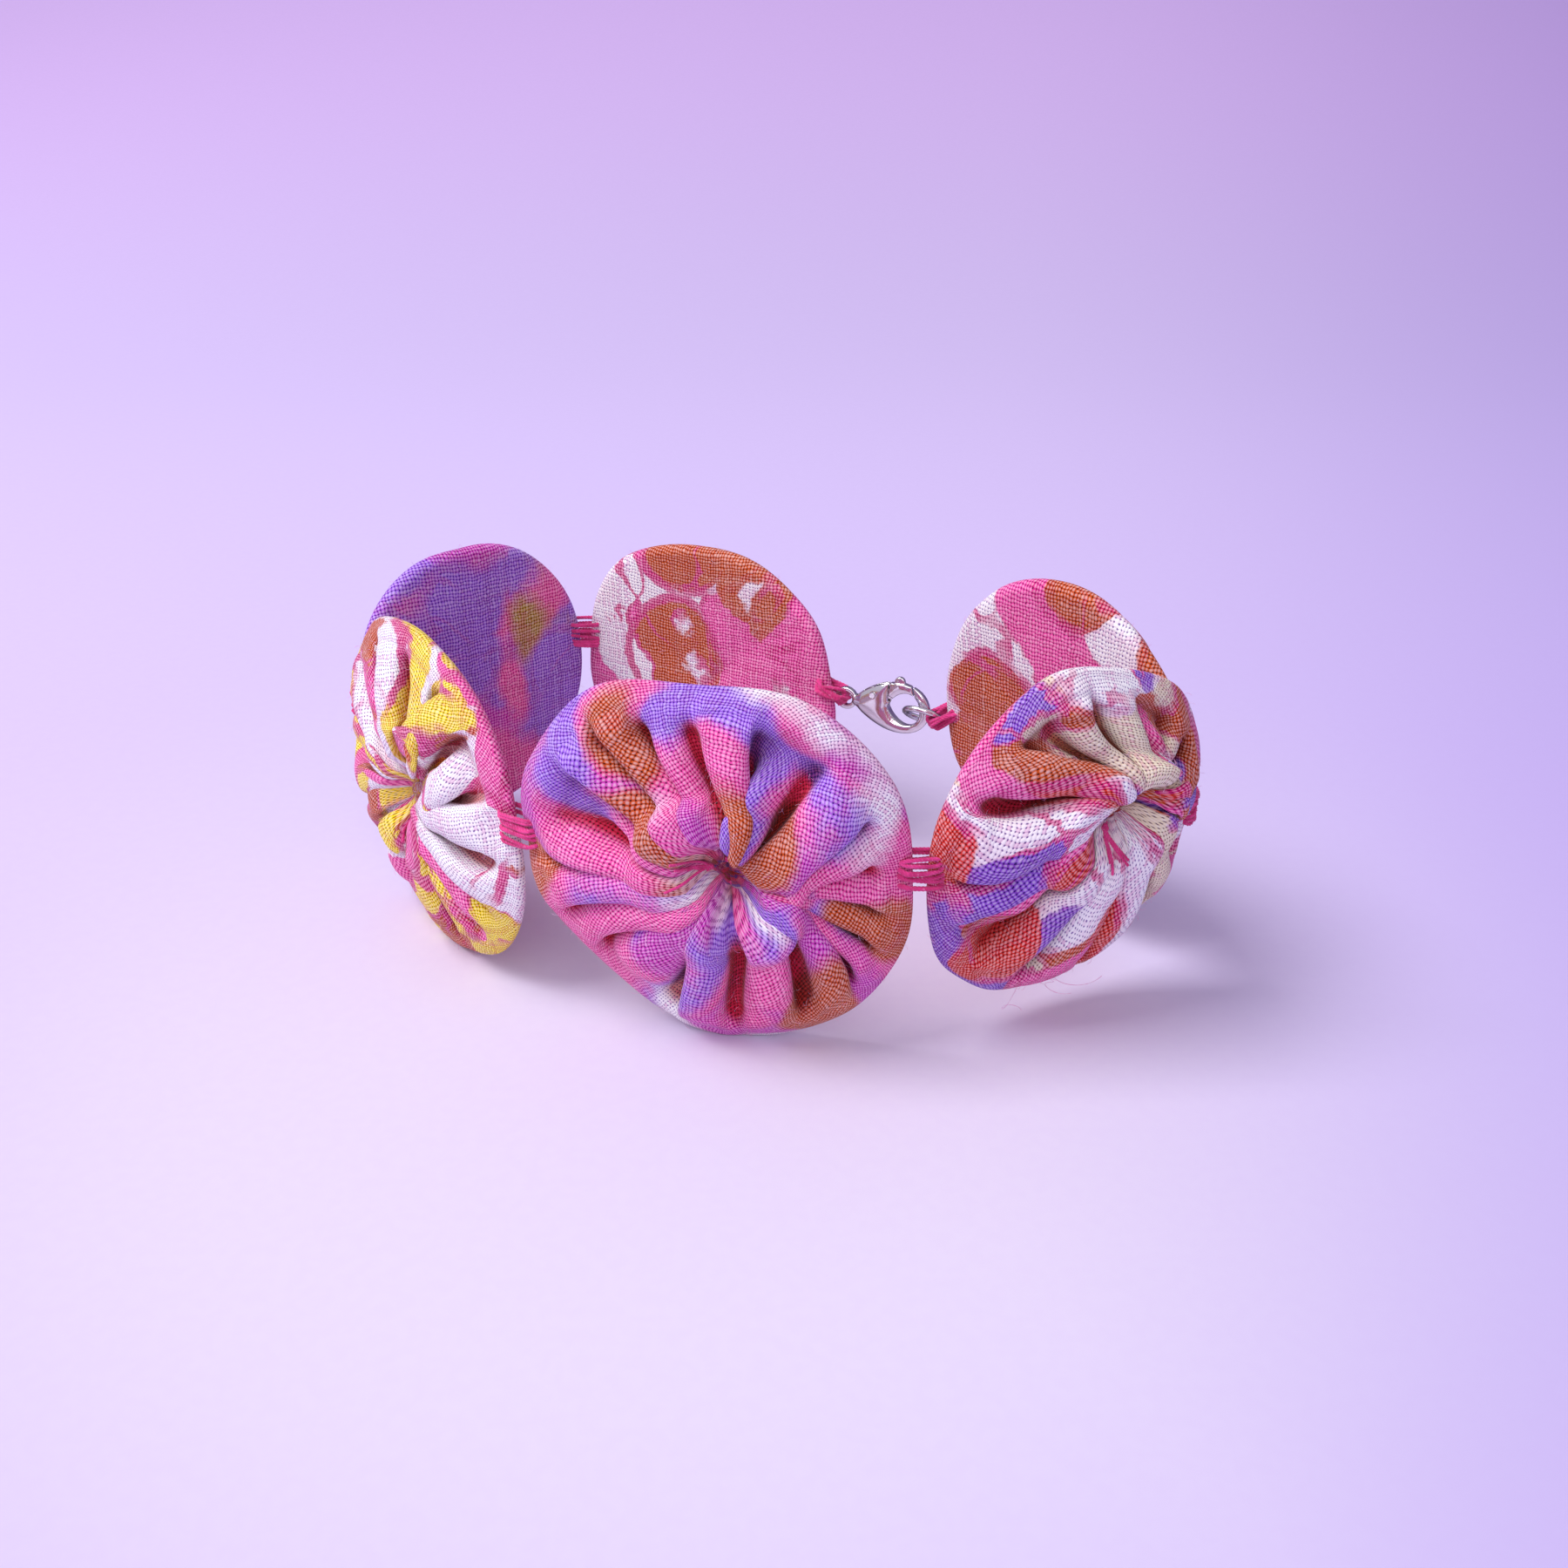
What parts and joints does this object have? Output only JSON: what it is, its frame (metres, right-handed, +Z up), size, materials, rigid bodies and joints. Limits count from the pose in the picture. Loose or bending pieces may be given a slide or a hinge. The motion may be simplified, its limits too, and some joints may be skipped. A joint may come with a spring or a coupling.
{
  "type": "fabric puff bracelet",
  "caption": "Wristlet of gathered round cotton puffs stitched edge to edge, closed by a small lobster clasp on a jump ring; it stands on its edge.",
  "frame": {"origin": "centre of the footprint, on the surface it stands on", "axes": "+Z up, +X to the right along the long side, -Y to the front puff, with the clasp at the back"},
  "size_m": [0.074, 0.0546, 0.0328],
  "materials": {
    "printed_cotton_front": "printed plain-weave cotton, matt",
    "printed_cotton_right": "printed plain-weave cotton, matt",
    "printed_cotton_back_right": "printed plain-weave cotton, matt",
    "printed_cotton_back": "printed plain-weave cotton, matt",
    "printed_cotton_back_left": "printed plain-weave cotton, matt",
    "printed_cotton_left": "printed plain-weave cotton, matt",
    "sewing_thread": "twisted magenta sewing thread",
    "silver_metal": "polished silver-coloured plating"
  },
  "bodies": {
    "front": {"front_puff": "printed_cotton_front", "front_gathering_thread": "sewing_thread", "front_left_stitches": "sewing_thread", "front_right_stitches": "sewing_thread"},
    "left": {"left_puff": "printed_cotton_left", "left_gathering_thread": "sewing_thread", "left_stitches": "sewing_thread"},
    "back_left": {"back_left_puff": "printed_cotton_back_left", "back_left_gathering_thread": "sewing_thread", "back_left_stitches": "sewing_thread"},
    "back": {"back_puff": "printed_cotton_back", "back_gathering_thread": "sewing_thread", "clasp_thread": "sewing_thread"},
    "clasp": {"clasp_body": "silver_metal", "clasp_pin": "silver_metal", "clasp_spring": "silver_metal"},
    "lever": {"clasp_lever": "silver_metal"},
    "right": {"right_puff": "printed_cotton_right", "right_gathering_thread": "sewing_thread", "right_stitches": "sewing_thread"},
    "back_right": {"back_right_puff": "printed_cotton_back_right", "back_right_gathering_thread": "sewing_thread", "ring_thread": "sewing_thread"},
    "ring": {"jump_ring": "silver_metal"}
  },
  "joints": [
    {"name": "front_left_join", "type": "hinge", "parent": "front", "child": "left", "pos_m": [-0.01771, -0.01699, 0.0176], "axis": [0, 0, 1], "range_deg": [-10, 10]},
    {"name": "left_join", "type": "hinge", "parent": "left", "child": "back_left", "pos_m": [-0.03669, 0.00865, 0.0176], "axis": [0, 0, 1], "range_deg": [-7.62, 7.62]},
    {"name": "back_left_join", "type": "hinge", "parent": "back_left", "child": "back", "pos_m": [-0.01743, 0.02611, 0.0176], "axis": [0, 0, 1], "range_deg": [-1.61, 1.61]},
    {"name": "clasp_swing", "type": "hinge", "parent": "back", "child": "clasp", "pos_m": [0.00841, 0.01024, 0.017], "axis": [0, 0, 1], "range_deg": [-3.71, 3.71]},
    {"name": "front_right_join", "type": "hinge", "parent": "front", "child": "right", "pos_m": [0.01354, -0.02387, 0.0176], "axis": [0, 0, 1], "range_deg": [-5.68, 5.68]},
    {"name": "right_join", "type": "hinge", "parent": "right", "child": "back_right", "pos_m": [0.03643, -0.01263, 0.0176], "axis": [0, 0, 1], "range_deg": [-4.98, 4.98]},
    {"name": "ring_swing", "type": "hinge", "parent": "back_right", "child": "ring", "pos_m": [0.0175, 0.00585, 0.0167], "axis": [0, 0, 1], "range_deg": [-2.67, 2.67]},
    {"name": "lever_pivot", "type": "hinge", "parent": "clasp", "child": "lever", "pos_m": [0.01174, 0.00863, 0.01805], "axis": [0.4352, 0.9003, 0], "range_deg": [0, 12], "stiffness_Nm_per_rad": 0.0005, "springref_deg": -5.73, "deforming": ["clasp_spring"]}
  ],
  "couplings": [
    {"joint": "left_join", "follows": "front_left_join", "ratio": -0.761},
    {"joint": "back_left_join", "follows": "front_left_join", "ratio": -0.16},
    {"joint": "clasp_swing", "follows": "front_left_join", "ratio": 0.37},
    {"joint": "front_right_join", "follows": "front_left_join", "ratio": 0.567},
    {"joint": "right_join", "follows": "front_left_join", "ratio": 0.497},
    {"joint": "ring_swing", "follows": "front_left_join", "ratio": 0.266}
  ]
}
